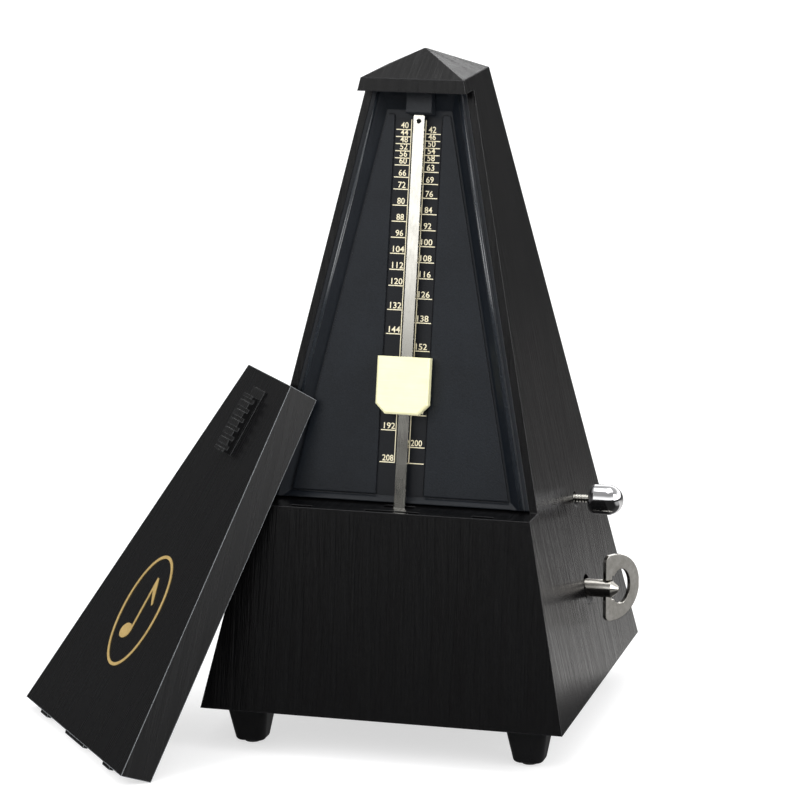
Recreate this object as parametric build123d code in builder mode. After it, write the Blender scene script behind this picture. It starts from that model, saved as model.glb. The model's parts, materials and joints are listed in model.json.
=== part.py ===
from build123d import *
from math import acos, atan, atan2, cos, degrees, hypot, pi, radians, sin, sqrt, tan
import os

os.makedirs("parts", exist_ok=True)

# A wind-up pyramid metronome with its front cover taken off and leant against its left side.
# X runs to the right, -Y is the front. The origin is the centre of the case's underside,
# and the table lies foot_height below it.

# ---- case ----
base_half = 60.0  # half the case's width at the underside
eave_half = 17.0  # half its width under the roof
eave_z = 201.0
apex_z = 208.8
foot_height = 14.0
wall = 2.6  # wall thickness, measured level
ledge_z = 65.5  # top of the base box
ledge_thickness = 2.2
fascia_z = 196.8  # lower edge of the band under the roof
rebate = 11.0  # how far the face lies behind the outer front, measured level
floor_thickness = 3.0
hatch_half_depth = 38.0

# ---- face ----
panel_thickness = 2.4
bead_inset = 4.1  # from the outer edge of the case to the bead
bead_height = 1.0
slope_width = 3.0
face_floor = 1.2  # the sunk field lies this far below the rim
strip_half = 7.65
strip_thickness = 0.2
raised_height = 0.7
raised_inset = 9.3

# ---- pendulum ----
pivot_drop = 5.3  # from the ledge down to the pivot, along the face
rod_width = 3.65
rod_back = 1.8  # the rod lies between these two heights over the rim
rod_front = 2.8
rod_top = 125.4
pivot_u = 0.95  # the pendulum hangs slightly right of the middle
staff_radius = 1.0
weight_width = 17.4
weight_height = 18.5
weight_middle = 38.45
weight_u = 0.4
weight_front = 4.8
weight_back = 1.35

# ---- movement: arbors run along X, each placed by (y, z) ----
plate_inner = 20.0
plate_thickness = 1.5
winding_axis = (6.3, 30.4)
escape_axis = (-20.5, 56.97)
selector_axis = (14.0, 58.6)
gear_module = 0.6
great_teeth = 60
small_pinion_teeth = 12
intermediate_teeth = 48
cam_drive_teeth = 18
cam_wheel_teeth = 36
cam_bearing = 39.6  # direction from the escape arbor to the cam arbor, in degrees
running_gap = 0.05
selector_pitch = 2.4

# ---- key and knob on the right wall ----
shank_radius = 3.0
shank_end = 64.1
key_hinge_x = 60.3
key_fold_rest = 55.0  # how far the key's plate is turned towards the back
stem_radius = 1.3
knob_start = 52.3
knob_radius = 5.0
knob_length = 11.4

# ---- cover ----
cover_depth = 10.6
cover_thickness = 2.0
cover_low = 65.8  # its lower and upper edges when it is on the case
cover_high = 196.5
cover_turn = -50.47  # how the loose cover stands: turned, tipped back, and where
cover_tip = -19.97
cover_foot = (-94.0, -60.95)

lean = (base_half - eave_half) / eave_z
lean_angle = degrees(atan(lean))
lean_sin = sin(radians(lean_angle))
lean_cos = cos(radians(lean_angle))


def half_width(z):
    return base_half - lean * z


face = Plane(
    origin=(0, rebate - half_width(ledge_z), ledge_z),
    x_dir=(1, 0, 0),
    z_dir=(0, -lean_cos, lean_sin),
)
face_top = (196.6 - ledge_z) / lean_cos


def on_face(u, v, n=0.0):
    """A point given across, up and out of the face."""
    return (
        u,
        rebate - half_width(ledge_z) + v * lean_sin - n * lean_cos,
        ledge_z + v * lean_cos + n * lean_sin,
    )


def inset_half(v, inset):
    return half_width(ledge_z) - lean_sin * v - inset


def trapezoid(v_low, v_high, inset, mode=Mode.ADD):
    """An upright trapezoid that follows the case's two sloping sides."""
    a, b = inset_half(v_low, inset), inset_half(v_high, inset)
    Polygon((-a, v_low), (a, v_low), (b, v_high), (-b, v_high), align=None, mode=mode)


def side_plane(x, axis=(0.0, 0.0)):
    """A plane square to X whose own x runs to the back and whose own y runs up."""
    return Plane(origin=(x, axis[0], axis[1]), x_dir=(0, 1, 0), z_dir=(1, 0, 0))


def disc(axis, x_from, x_to, radius, mode=Mode.ADD):
    """A cylinder along X between two values of x."""
    with Locations(Location(((x_from + x_to) / 2, axis[0], axis[1]), (0, 90, 0))):
        Cylinder(radius, x_to - x_from, mode=mode)


def block(x, y, z, mode=Mode.ADD):
    """A box between three pairs of limits."""
    with Locations(((x[0] + x[1]) / 2, (y[0] + y[1]) / 2, (z[0] + z[1]) / 2)):
        Box(x[1] - x[0], y[1] - y[0], z[1] - z[0], mode=mode)


# ================= case =================
with BuildPart() as case_shell:
    with BuildSketch():
        Rectangle(2 * base_half, 2 * base_half)
    extrude(amount=eave_z, taper=lean_angle)
    with BuildSketch():
        Rectangle(2 * (base_half - wall), 2 * (base_half - wall))
    extrude(amount=eave_z, taper=lean_angle, mode=Mode.SUBTRACT)
    # the opening in front, which the cover closes
    with BuildSketch(side_plane(0)):
        with BuildLine():
            Polyline(
                (-base_half - 5, ledge_z),
                (rebate - half_width(ledge_z), ledge_z),
                (rebate - half_width(fascia_z), fascia_z),
                (-base_half - 5, fascia_z),
                close=True,
            )
        make_face()
    extrude(amount=base_half + 5, both=True, mode=Mode.SUBTRACT)
    block((-45.4, 45.4), (-45.4, -31.5), (ledge_z - ledge_thickness, ledge_z))
    # rails along the front and back of the floor, which carry the feet
    for side in (-1, 1):
        y_range = sorted((side * (hatch_half_depth + 0.2), side * 56.6))
        block((-56.6, 56.6), y_range, (0, floor_thickness))
        x_range = sorted((side * 46, side * 55.8))
        block(x_range, (-5, 5), (floor_thickness, 12))
        y_range = sorted((side * 34, side * 55.8))
        block((-5, 5), y_range, (floor_thickness, 8))
    # slot for the pendulum, and three for the cover's tongues
    block((-4.1, 6.0), (-38.9, -36.0), (ledge_z - 3, ledge_z + 1), Mode.SUBTRACT)
    for middle, width in ((-30, 7), (0, 18.2), (30, 7)):
        x_range = (middle - width / 2, middle + width / 2)
        block(x_range, (-45.0, -43.0), (ledge_z - 2.6, ledge_z + 1), Mode.SUBTRACT)
    disc(winding_axis, 45, 59, 4.4, Mode.SUBTRACT)
    with Locations(Location((53.6, winding_axis[0], winding_axis[1]), (0, 90, 0))):
        Cone(4.0, 6.0, 2.0, mode=Mode.SUBTRACT)
    disc(selector_axis, 40, 52, 2.3, Mode.SUBTRACT)
    with Locations(Location((47.6, selector_axis[0], selector_axis[1]), (0, 90, 0))):
        Cone(2.2, 3.4, 1.6, mode=Mode.SUBTRACT)
    with Locations((-50.5, 0), (50.5, 0)):
        Cylinder(1.25, 11.6, align=(Align.CENTER, Align.CENTER, Align.MIN), mode=Mode.SUBTRACT)
    for foot_x in (-46.5, 46.5):
        for foot_y in (-46.5, 46.5):
            with Locations((foot_x, foot_y, 1.2)):
                Cylinder(1.6, 2.6, mode=Mode.SUBTRACT)
case_shell.part.label = "case_shell"
export_step(case_shell.part, "parts/case_shell.step")

with BuildPart() as roof_cap:
    with BuildSketch(Plane.XY.offset(eave_z)):
        Rectangle(2 * eave_half, 2 * eave_half)
    with BuildSketch(Plane.XY.offset(apex_z)):
        Rectangle(0.8, 0.8)
    loft()
    with BuildSketch(Plane.XY.offset(eave_z - 3.3)):
        Rectangle(28.4, 28.4)
    extrude(amount=3.8)
    with BuildSketch(Plane.XY.offset(eave_z - 3.3)):
        Rectangle(25.2, 25.2)
    extrude(amount=3.3, mode=Mode.SUBTRACT)
    with BuildSketch(Plane.XY.offset(eave_z)):
        Rectangle(25.2, 25.2)
    with BuildSketch(Plane.XY.offset(apex_z - 2.2)):
        Rectangle(1.0, 1.0)
    loft(mode=Mode.SUBTRACT)
roof_cap.part.label = "roof_cap"
export_step(roof_cap.part, "parts/roof_cap.step")

with BuildPart() as face_panel:
    with BuildSketch(face):
        trapezoid(0.55, face_top, wall + 0.1)
    extrude(amount=-panel_thickness)
    # raised rim along both sides
    with BuildSketch(face):
        trapezoid(0.55, face_top, bead_inset)
        trapezoid(0, face_top + 1, bead_inset + 1.5 + slope_width, Mode.SUBTRACT)
    extrude(amount=bead_height)
    # sunk field with sloping sides
    with BuildSketch(face.offset(-face_floor)):
        trapezoid(2.6, face_top - 6.9, bead_inset + 1.5 + slope_width)
    with BuildSketch(face.offset(bead_height)):
        trapezoid(-0.4, face_top + 0.6, bead_inset + 1.5)
    loft(mode=Mode.SUBTRACT)
    # two raised fields beside the scale
    for side in (-1, 1):
        v_low, v_high = 3.1, face_top - 8.4
        with BuildSketch(face.offset(-face_floor)) as raised:
            Polygon(
                (side * (strip_half + 0.35), v_low),
                (side * inset_half(v_low, raised_inset), v_low),
                (side * inset_half(v_high, raised_inset), v_high),
                (side * (strip_half + 0.35), v_high),
                align=None,
            )
            fillet(raised.vertices().group_by(Axis.Y)[-1], 0.7)
        extrude(amount=raised_height)
    # seat of the rod clip
    with BuildSketch(face.offset(-face_floor)):
        with Locations((pivot_u, face_top - 4.65)):
            Rectangle(8.4, 7.5)
    extrude(amount=6, mode=Mode.SUBTRACT)
face_panel.part.label = "face_panel"
export_step(face_panel.part, "parts/face_panel.step")

with BuildPart() as scale_plate:
    with BuildSketch(face.offset(-face_floor)):
        with Locations((0, (3.0 + face_top - 9.7) / 2)):
            Rectangle(2 * strip_half, face_top - 9.7 - 3.0)
    extrude(amount=strip_thickness)
scale_plate.part.label = "scale_plate"
export_step(scale_plate.part, "parts/scale_plate.step")

# the block at the top of the face that holds the rod's end
with BuildPart() as rod_clip:
    with BuildSketch(face.offset(-face_floor)):
        with Locations((pivot_u, face_top - 4.65)):
            Rectangle(8.4, 7.5)
    extrude(amount=5.2)
    chamfer(rod_clip.edges().filter_by(Axis.X).group_by(Axis.Y)[0], 0.5)
    with BuildSketch(face.offset(rod_back - 0.3)):
        with Locations((pivot_u, face_top - 8.4)):
            Rectangle(rod_width + 0.8, 1.6)
    extrude(amount=1.6, mode=Mode.SUBTRACT)
rod_clip.part.label = "rod_clip"
export_step(rod_clip.part, "parts/rod_clip.step")

# ================= underside =================
with BuildPart() as bottom_plate:
    block((-56.4, 56.4), (-hatch_half_depth, hatch_half_depth), (0, floor_thickness))
    with Locations(Plane(origin=(-50.5, 0, 0), z_dir=(0, 0, -1))):
        CounterSinkHole(1.3, 2.6)
    with Locations(Plane(origin=(50.5, 0, 0), z_dir=(0, 0, -1))):
        CounterSinkHole(1.3, 2.6)
    with Locations((-25.5, -20), (-25.5, 18), (25.5, -20), (25.5, 18)):
        Cylinder(1.2, 20, mode=Mode.SUBTRACT)
bottom_plate.part.label = "bottom_plate"
export_step(bottom_plate.part, "parts/bottom_plate.step")

with BuildPart() as bottom_screws:
    for screw_x in (-50.5, 50.5):
        with BuildSketch(Plane(origin=(screw_x, 0, 0), x_dir=(1, 0, 0), z_dir=(0, -1, 0))):
            Polygon((0, 0.15), (2.3, 0.15), (1.2, 1.35), (1.2, 10.5), (0, 11.3), align=None)
        revolve(axis=Axis((screw_x, 0, 0), (0, 0, 1)))
        block((screw_x - 1.7, screw_x + 1.7), (-0.25, 0.25), (-0.5, 0.6), Mode.SUBTRACT)
bottom_screws.part.label = "bottom_screws"
export_step(bottom_screws.part, "parts/bottom_screws.step")

foot_corners = {
    "foot_front_left": (-46.5, -46.5),
    "foot_front_right": (46.5, -46.5),
    "foot_back_left": (-46.5, 46.5),
    "foot_back_right": (46.5, 46.5),
}
for foot_name, (foot_x, foot_y) in foot_corners.items():
    with BuildPart() as foot:
        with BuildSketch(Plane.XY):
            with Locations((foot_x, foot_y)):
                RectangleRounded(14.0, 14.0, 1.6)
        with BuildSketch(Plane.XY.offset(1.0 - foot_height)):
            with Locations((foot_x, foot_y)):
                RectangleRounded(9.8, 9.8, 3.2)
        loft()
        fillet(foot.faces().sort_by(Axis.Z)[0].edges(), 1.2)
        with Locations((foot_x, foot_y, 1.2)):
            Cylinder(1.5, 2.4)
        with Locations((foot_x, foot_y, 1.6 - foot_height)):
            Cylinder(2.9, 1.4, mode=Mode.SUBTRACT)
    foot.part.label = foot_name
    export_step(foot.part, f"parts/{foot_name}.step")

with BuildPart() as foot_pads:
    for foot_x, foot_y in foot_corners.values():
        with Locations((foot_x, foot_y, 1.1 - foot_height)):
            Cylinder(2.8, 2.2)
    chamfer(foot_pads.edges().group_by(Axis.Z)[0], 0.3)
foot_pads.part.label = "foot_pads"
export_step(foot_pads.part, "parts/foot_pads.step")

# ================= movement frame =================
pillar_spots = ((-26.0, 10.0), (24.0, 10.0), (24.0, 48.0), (-30.0, 44.0))
bridge_spots = ((-23.9, 67.5), (-27.6, 52.0))
plate_outline = (
    (-32.5, floor_thickness),
    (28, floor_thickness),
    (28, 52),
    (17, 63),
    (-3, 72.5),
    (-26.5, 72.5),
    (-28, 62.3),
    (-32.5, 61.5),
)


def pitch_radius(teeth):
    return gear_module * teeth / 2


def step_away(start, angle, reach):
    return (start[0] + reach * cos(radians(angle)), start[1] + reach * sin(radians(angle)))


def bearing(start, end):
    return degrees(atan2(end[1] - start[1], end[0] - start[0]))


def mesh_point(a, b, reach_a, reach_b):
    """The point at one distance from a and another from b, on the lower front side."""
    gap = hypot(b[0] - a[0], b[1] - a[1])
    along = (reach_a**2 - reach_b**2 + gap**2) / (2 * gap)
    off = sqrt(reach_a**2 - along**2)
    u = ((b[0] - a[0]) / gap, (b[1] - a[1]) / gap)
    return (a[0] + along * u[0] - off * u[1], a[1] + along * u[1] + off * u[0])


intermediate_axis = mesh_point(
    winding_axis,
    escape_axis,
    pitch_radius(great_teeth + small_pinion_teeth),
    pitch_radius(intermediate_teeth + small_pinion_teeth),
)
cam_axis = step_away(escape_axis, cam_bearing, pitch_radius(cam_drive_teeth + cam_wheel_teeth))


def gear_points(teeth, tooth_angle):
    """The outline of an involute gear that has one tooth pointing at the given angle."""
    pitch = pitch_radius(teeth)
    base = pitch * cos(radians(20))
    tip, root = pitch + 0.8 * gear_module, pitch - 1.2 * gear_module
    half_at_pitch = 0.42 * pi * gear_module / pitch / 2

    def half_angle(r):
        pressure = acos(min(1.0, base / max(r, base)))
        return half_at_pitch + 0.014904 - (tan(pressure) - pressure)

    radii = [root, max(base, root + 0.1), pitch, (pitch + tip) / 2, tip]
    points = []
    for i in range(teeth):
        middle = radians(tooth_angle) + 2 * pi * i / teeth
        flank = [(r, half_angle(r)) for r in radii]
        for r, half in flank:
            points.append((r * cos(middle - half), r * sin(middle - half)))
        for r, half in reversed(flank):
            points.append((r * cos(middle + half), r * sin(middle + half)))
    return points


def ring_points(teeth, root, tip, start, rise=0.35, fall=0.65):
    """The outline of a disc with teeth or lobes, each rising and falling once."""
    points = []
    for i in range(teeth):
        for share, r in ((0.0, root), (rise, tip), (fall, tip), (fall + 0.08, root)):
            angle = radians(start) + 2 * pi * (i + share) / teeth
            points.append((r * cos(angle), r * sin(angle)))
    return points


def next_phase(direction, teeth):
    """The angle of a driven gear's tooth that puts a gap where the driving tooth points."""
    return direction + 180 + 180 / teeth


def frame_holes():
    disc(winding_axis, -30, 30, 2.5 + running_gap, Mode.SUBTRACT)
    disc(selector_axis, -30, 30, stem_radius + running_gap, Mode.SUBTRACT)
    disc(cam_axis, -30, 30, 1.0 + running_gap, Mode.SUBTRACT)
    disc(intermediate_axis, -30, 30, 1.0 + running_gap, Mode.SUBTRACT)
    for spot in pillar_spots:
        disc(spot, -30, 30, 1.05, Mode.SUBTRACT)


for frame_name, inner, outer, flange in (
    ("frame_plate_left", -plate_inner, -plate_inner - plate_thickness, (-29.5, -20)),
    ("frame_plate_right", plate_inner, plate_inner + plate_thickness, (20, 29.5)),
):
    with BuildPart() as frame_plate:
        with BuildSketch(side_plane(inner)) as plate_sketch:
            Polygon(*plate_outline, align=None)
            fillet(plate_sketch.vertices().group_by(Axis.Y)[-1], 2)
        extrude(amount=outer - inner)
        block(flange, (-26, 24), (floor_thickness, floor_thickness + 1.5))
        for window_y in (-19, -8, 14):
            block((-30, 30), (window_y - 3, window_y + 3), (8.5, 11.5), Mode.SUBTRACT)
        frame_holes()
        if frame_name == "frame_plate_left":
            disc(escape_axis, -30, 0, 1.0 + running_gap, Mode.SUBTRACT)
            for spot in bridge_spots:
                disc(spot, -30, 0, 1.05, Mode.SUBTRACT)
        with Locations((-25.5, -20), (-25.5, 18), (25.5, -20), (25.5, 18)):
            Cylinder(1.2, 20, mode=Mode.SUBTRACT)
    frame_plate.part.label = frame_name
    export_step(frame_plate.part, f"parts/{frame_name}.step")

with BuildPart() as frame_pillars:
    for spot in pillar_spots:
        disc(spot, -plate_inner, plate_inner, 1.9)
        disc(spot, -plate_inner, -plate_inner + 6, 1.0, Mode.SUBTRACT)
        disc(spot, plate_inner - 6, plate_inner, 1.0, Mode.SUBTRACT)
frame_pillars.part.label = "frame_pillars"
export_step(frame_pillars.part, "parts/frame_pillars.step")

with BuildPart() as bridge_pillars:
    for spot in bridge_spots:
        disc(spot, -plate_inner, -12.6, 1.6)
        disc(spot, -plate_inner, -plate_inner + 3, 1.0, Mode.SUBTRACT)
        disc(spot, -15.6, -12.6, 1.0, Mode.SUBTRACT)
bridge_pillars.part.label = "bridge_pillars"
export_step(bridge_pillars.part, "parts/bridge_pillars.step")

with BuildPart() as frame_screws:
    for spot in pillar_spots:
        for side in (-1, 1):
            outer = side * (plate_inner + plate_thickness)
            disc(spot, *sorted((outer, outer + side * 1.2)), 2.0)
            disc(spot, *sorted((outer - side * 6, outer)), 0.95)
            slot_x = sorted((outer + side * 0.7, outer + side * 1.6))
            block(slot_x, (spot[0] - 3, spot[0] + 3), (spot[1] - 0.25, spot[1] + 0.25), Mode.SUBTRACT)
    for spot in bridge_spots:
        disc(spot, -22.7, -21.5, 2.0)
        disc(spot, -21.5, -18, 0.95)
        disc(spot, -11.4, -10.4, 1.7)
        disc(spot, -14.6, -11.4, 0.95)
    for foot_x, foot_y in ((-25.5, -20), (-25.5, 18), (25.5, -20), (25.5, 18)):
        with Locations((foot_x, foot_y, 5.1)):
            Cylinder(2.2, 1.2)
        with Locations((foot_x, foot_y, 2.5)):
            Cylinder(1.1, 4.0)
        block((foot_x - 3, foot_x + 3), (foot_y - 0.25, foot_y + 0.25), (5.2, 6.2), Mode.SUBTRACT)
frame_screws.part.label = "frame_screws"
export_step(frame_screws.part, "parts/frame_screws.step")

with BuildPart() as escape_bridge:
    with BuildSketch(side_plane(-12.6)) as bridge_sketch:
        with BuildLine():
            Polyline(bridge_spots[0], bridge_spots[1], escape_axis, close=True)
        make_face()
        offset(amount=3.0, kind=Kind.ARC)
    extrude(amount=1.2)
    disc(escape_axis, -20, 0, 1.2 + running_gap, Mode.SUBTRACT)
    for spot in bridge_spots:
        disc(spot, -20, 0, 1.05, Mode.SUBTRACT)
escape_bridge.part.label = "escape_bridge"
export_step(escape_bridge.part, "parts/escape_bridge.step")

# the pendulum staff runs from front to back, square to the face
staff_v = -pivot_drop


def staff_plane(n):
    """A plane square to the pendulum staff, centred on it."""
    return Plane(
        origin=on_face(pivot_u, staff_v, n), x_dir=(1, 0, 0), z_dir=(0, -lean_cos, lean_sin)
    )


for bearing_name, n_back, n_front, x_left, size_v in (
    ("staff_bearing_front", -6.5, -4.0, -plate_inner, 5.6),
    ("staff_bearing_back", -29.6, -27.1, -3.0, 4.4),
):
    with BuildPart() as staff_bearing:
        with BuildSketch(staff_plane(n_back)):
            with Locations(((x_left + plate_inner) / 2 - pivot_u, 0)):
                Rectangle(plate_inner - x_left, size_v)
        extrude(amount=n_front - n_back)
        with BuildSketch(staff_plane(n_back)):
            Circle(staff_radius + running_gap)
        extrude(amount=n_front - n_back, mode=Mode.SUBTRACT)
    staff_bearing.part.label = bearing_name
    export_step(staff_bearing.part, f"parts/{bearing_name}.step")

bell_spot = (10.0, 22.0)
with BuildPart() as bell_bridge:
    block((-plate_inner, plate_inner), (19.5, 24.5), (50.3, 53.3))
    with Locations((bell_spot[0], bell_spot[1], 51.8)):
        Cylinder(1.25, 5, mode=Mode.SUBTRACT)
bell_bridge.part.label = "bell_bridge"
export_step(bell_bridge.part, "parts/bell_bridge.step")

with BuildPart() as bell_post:
    with BuildSketch(Plane(origin=(bell_spot[0], bell_spot[1], 0), x_dir=(1, 0, 0), z_dir=(0, -1, 0))):
        Polygon(
            (0, 50.5), (1.2, 50.5), (1.2, 53.3), (2.0, 53.3), (2.0, 83.8),
            (1.2, 83.8), (1.2, 88.4), (0, 88.4), align=None,
        )
    revolve(axis=Axis((bell_spot[0], bell_spot[1], 0), (0, 0, 1)))
bell_post.part.label = "bell_post"
export_step(bell_post.part, "parts/bell_post.step")

with BuildPart() as bell:
    with BuildSketch(Plane(origin=(bell_spot[0], bell_spot[1], 0), x_dir=(1, 0, 0), z_dir=(0, -1, 0))):
        with BuildLine():
            Polyline((1.25, 83.9), (4.0, 83.9))
            ThreePointArc((4.0, 83.9), (11.2, 81.5), (14.2, 75.6))
            Polyline((14.2, 75.6), (15.0, 75.6))
            ThreePointArc((15.0, 75.6), (11.9, 82.3), (4.0, 85.1))
            Polyline((4.0, 85.1), (1.25, 85.1), (1.25, 83.9))
        make_face()
    revolve(axis=Axis((bell_spot[0], bell_spot[1], 0), (0, 0, 1)))
bell.part.label = "bell"
export_step(bell.part, "parts/bell.step")

with BuildPart() as bell_nut:
    with BuildSketch(Plane.XY.offset(85.1)):
        with Locations(bell_spot):
            RegularPolygon(2.6, 6)
            Circle(1.2, mode=Mode.SUBTRACT)
    extrude(amount=2.0)
bell_nut.part.label = "bell_nut"
export_step(bell_nut.part, "parts/bell_nut.step")

# ================= barrel and winding arbor =================
great_phase = bearing(winding_axis, intermediate_axis)
with BuildPart() as great_wheel:
    with BuildSketch(side_plane(-13.0, winding_axis)):
        Polygon(*gear_points(great_teeth, great_phase), align=None)
        Circle(2.0 + running_gap, mode=Mode.SUBTRACT)
    extrude(amount=1.5)
great_wheel.part.label = "great_wheel"
export_step(great_wheel.part, "parts/great_wheel.step")

with BuildPart() as barrel_drum:
    disc(winding_axis, -11.5, 9.6, 15.2)
    disc(winding_axis, -10.5, 9.6, 14.2, Mode.SUBTRACT)
    disc(winding_axis, -11.5, -10.5, 2.0 + running_gap, Mode.SUBTRACT)
barrel_drum.part.label = "barrel_drum"
export_step(barrel_drum.part, "parts/barrel_drum.step")

with BuildPart() as barrel_cap:
    disc(winding_axis, 8.6, 9.6, 14.2)
    disc(winding_axis, 8.6, 9.6, 2.5 + running_gap, Mode.SUBTRACT)
barrel_cap.part.label = "barrel_cap"
export_step(barrel_cap.part, "parts/barrel_cap.step")


def spiral_points(r_start, r_end, turns, strip, per_turn=18):
    """Both sides of a strip wound into a spiral."""
    count = int(turns * per_turn)
    outer, inner = [], []
    for i in range(count + 1):
        angle = 2 * pi * i / per_turn
        r = r_start + (r_end - r_start) * i / count
        inner.append((r * cos(angle), r * sin(angle)))
        outer.append(((r + strip) * cos(angle), (r + strip) * sin(angle)))
    return inner + outer[::-1]


with BuildPart() as mainspring:
    with BuildSketch(side_plane(-9.6, winding_axis)):
        Polygon(*spiral_points(4.4, 13.6, 8, 0.45), align=None)
    extrude(amount=17.4)
mainspring.part.label = "mainspring"
export_step(mainspring.part, "parts/mainspring.step")

with BuildPart() as winding_arbor:
    disc(winding_axis, -22.3, -10.1, 2.0)
    disc(winding_axis, -10.1, 8.2, 3.5)
    disc(winding_axis, 8.2, 24.6, 2.5)
    disc(winding_axis, 24.6, 47.0, 2.2)
winding_arbor.part.label = "winding_arbor"
export_step(winding_arbor.part, "parts/winding_arbor.step")

ratchet_teeth, ratchet_tip, ratchet_root = 24, 9.0, 7.7
with BuildPart() as ratchet_wheel:
    with BuildSketch(side_plane(22.4, winding_axis)):
        Polygon(*ring_points(ratchet_teeth, ratchet_root, ratchet_tip, 0, 0.86, 0.92), align=None)
        Circle(2.5, mode=Mode.SUBTRACT)
    extrude(amount=1.6)
ratchet_wheel.part.label = "ratchet_wheel"
export_step(ratchet_wheel.part, "parts/ratchet_wheel.step")

with BuildPart() as key_shank:
    disc(winding_axis, 42.0, shank_end - 2.4, shank_radius)
    with Locations(Location((shank_end - 1.2, *winding_axis), (0, 90, 0))):
        Cone(shank_radius, 0.9, 2.4)
    disc(winding_axis, 42.0, 47.0, 2.2, Mode.SUBTRACT)
    with Locations((key_hinge_x, winding_axis[0], winding_axis[1])):
        Cylinder(1.75, 3 * shank_radius, mode=Mode.SUBTRACT)
key_shank.part.label = "key_shank"
export_step(key_shank.part, "parts/key_shank.step")

key_plane = Plane(
    origin=(key_hinge_x, winding_axis[0], winding_axis[1]),
    x_dir=(cos(radians(key_fold_rest)), sin(radians(key_fold_rest)), 0),
    z_dir=(sin(radians(key_fold_rest)), -cos(radians(key_fold_rest)), 0),
)
with BuildPart() as key_ring:
    with BuildSketch(key_plane.offset(-0.7)) as ring_sketch:
        with BuildLine():
            Polyline((-1.35, -9.0), (-1.35, 9.0))
            ThreePointArc((-1.35, 9.0), (-0.7, 10.6), (1.0, 11.2))
            Polyline((1.0, 11.2), (3.6, 11.2))
            ThreePointArc((3.6, 11.2), (10.4, 8.0), (13.6, 1.6))
            Polyline((13.6, 1.6), (13.6, -1.6))
            ThreePointArc((13.6, -1.6), (10.4, -8.0), (3.6, -11.2))
            Polyline((3.6, -11.2), (1.0, -11.2))
            ThreePointArc((1.0, -11.2), (-0.7, -10.6), (-1.35, -9.0))
        make_face()
        with Locations((5.4, 0)):
            Ellipse(4.2, 5.9, mode=Mode.SUBTRACT)
        with Locations((2.7, 0)):
            Rectangle(2.8, 8.0, mode=Mode.SUBTRACT)
    extrude(amount=1.4)
key_ring.part.label = "key_ring"
export_step(key_ring.part, "parts/key_ring.step")

# the pawl stands clear of the ratchet; it drops into a gap when it turns towards the wheel
pawl_spot = (18.6, 38.4)
with BuildPart() as click_stud:
    disc(pawl_spot, 21.5, 22.2, 1.9)
    disc(pawl_spot, 22.2, 24.4, 1.2)
    disc(pawl_spot, 24.4, 25.2, 1.9)
click_stud.part.label = "click_stud"
export_step(click_stud.part, "parts/click_stud.step")

with BuildPart() as click:
    with BuildSketch(side_plane(22.5, pawl_spot)) as click_sketch:
        Circle(2.6)
        Polygon((-1.5, -1.9), (-8.5, 0.6), (-7.6, 2.4), (0.5, 2.5), align=None)
        Polygon((0.5, -2.4), (5.6, -1.6), (5.6, 0.2), (0.5, 2.4), align=None)
        Circle(1.2 + running_gap, mode=Mode.SUBTRACT)
    extrude(amount=1.4)
click.part.label = "click"
export_step(click.part, "parts/click.step")

spring_spot = (25.4, 29.2)
with BuildPart() as click_spring:
    with BuildSketch(side_plane(22.6)):
        Polygon((24.8, 30.0), (25.3, 30.2), (22.9, 36.1), (22.6, 36.0), align=None)
        with Locations(spring_spot):
            Circle(1.7)
    extrude(amount=1.2)
    disc(spring_spot, 21.5, 22.6, 1.2)
click_spring.part.label = "click_spring"
export_step(click_spring.part, "parts/click_spring.step")

# ================= going train =================
with BuildPart() as intermediate_arbor:
    disc(intermediate_axis, -21.4, -19.6, 1.0)
    disc(intermediate_axis, -19.6, 19.6, 1.5)
    disc(intermediate_axis, 19.6, 21.4, 1.0)
    with BuildSketch(side_plane(-14.4, intermediate_axis)):
        pinion_phase = next_phase(great_phase, small_pinion_teeth)
        Polygon(*gear_points(small_pinion_teeth, pinion_phase), align=None)
    extrude(amount=4.2)
intermediate_arbor.part.label = "intermediate_arbor"
export_step(intermediate_arbor.part, "parts/intermediate_arbor.step")

wheel_phase = bearing(intermediate_axis, escape_axis)
with BuildPart() as intermediate_wheel:
    with BuildSketch(side_plane(-18.1, intermediate_axis)):
        Polygon(*gear_points(intermediate_teeth, wheel_phase), align=None)
        Circle(1.5, mode=Mode.SUBTRACT)
        with PolarLocations(8.2, 5):
            Circle(2.9, mode=Mode.SUBTRACT)
    extrude(amount=1.2)
intermediate_wheel.part.label = "intermediate_wheel"
export_step(intermediate_wheel.part, "parts/intermediate_wheel.step")

with BuildPart() as escape_arbor:
    disc(escape_axis, -21.4, -19.6, 1.0)
    disc(escape_axis, -19.6, -8.6, 1.2)
    with BuildSketch(side_plane(-19.3, escape_axis)):
        Polygon(*gear_points(small_pinion_teeth, next_phase(wheel_phase, small_pinion_teeth)), align=None)
    extrude(amount=3.4)
escape_arbor.part.label = "escape_arbor"
export_step(escape_arbor.part, "parts/escape_arbor.step")

with BuildPart() as cam_drive_gear:
    with BuildSketch(side_plane(-15.1, escape_axis)):
        Polygon(*gear_points(cam_drive_teeth, cam_bearing), align=None)
        Circle(1.2, mode=Mode.SUBTRACT)
    extrude(amount=2.0)
cam_drive_gear.part.label = "cam_drive_gear"
export_step(cam_drive_gear.part, "parts/cam_drive_gear.step")

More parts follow.
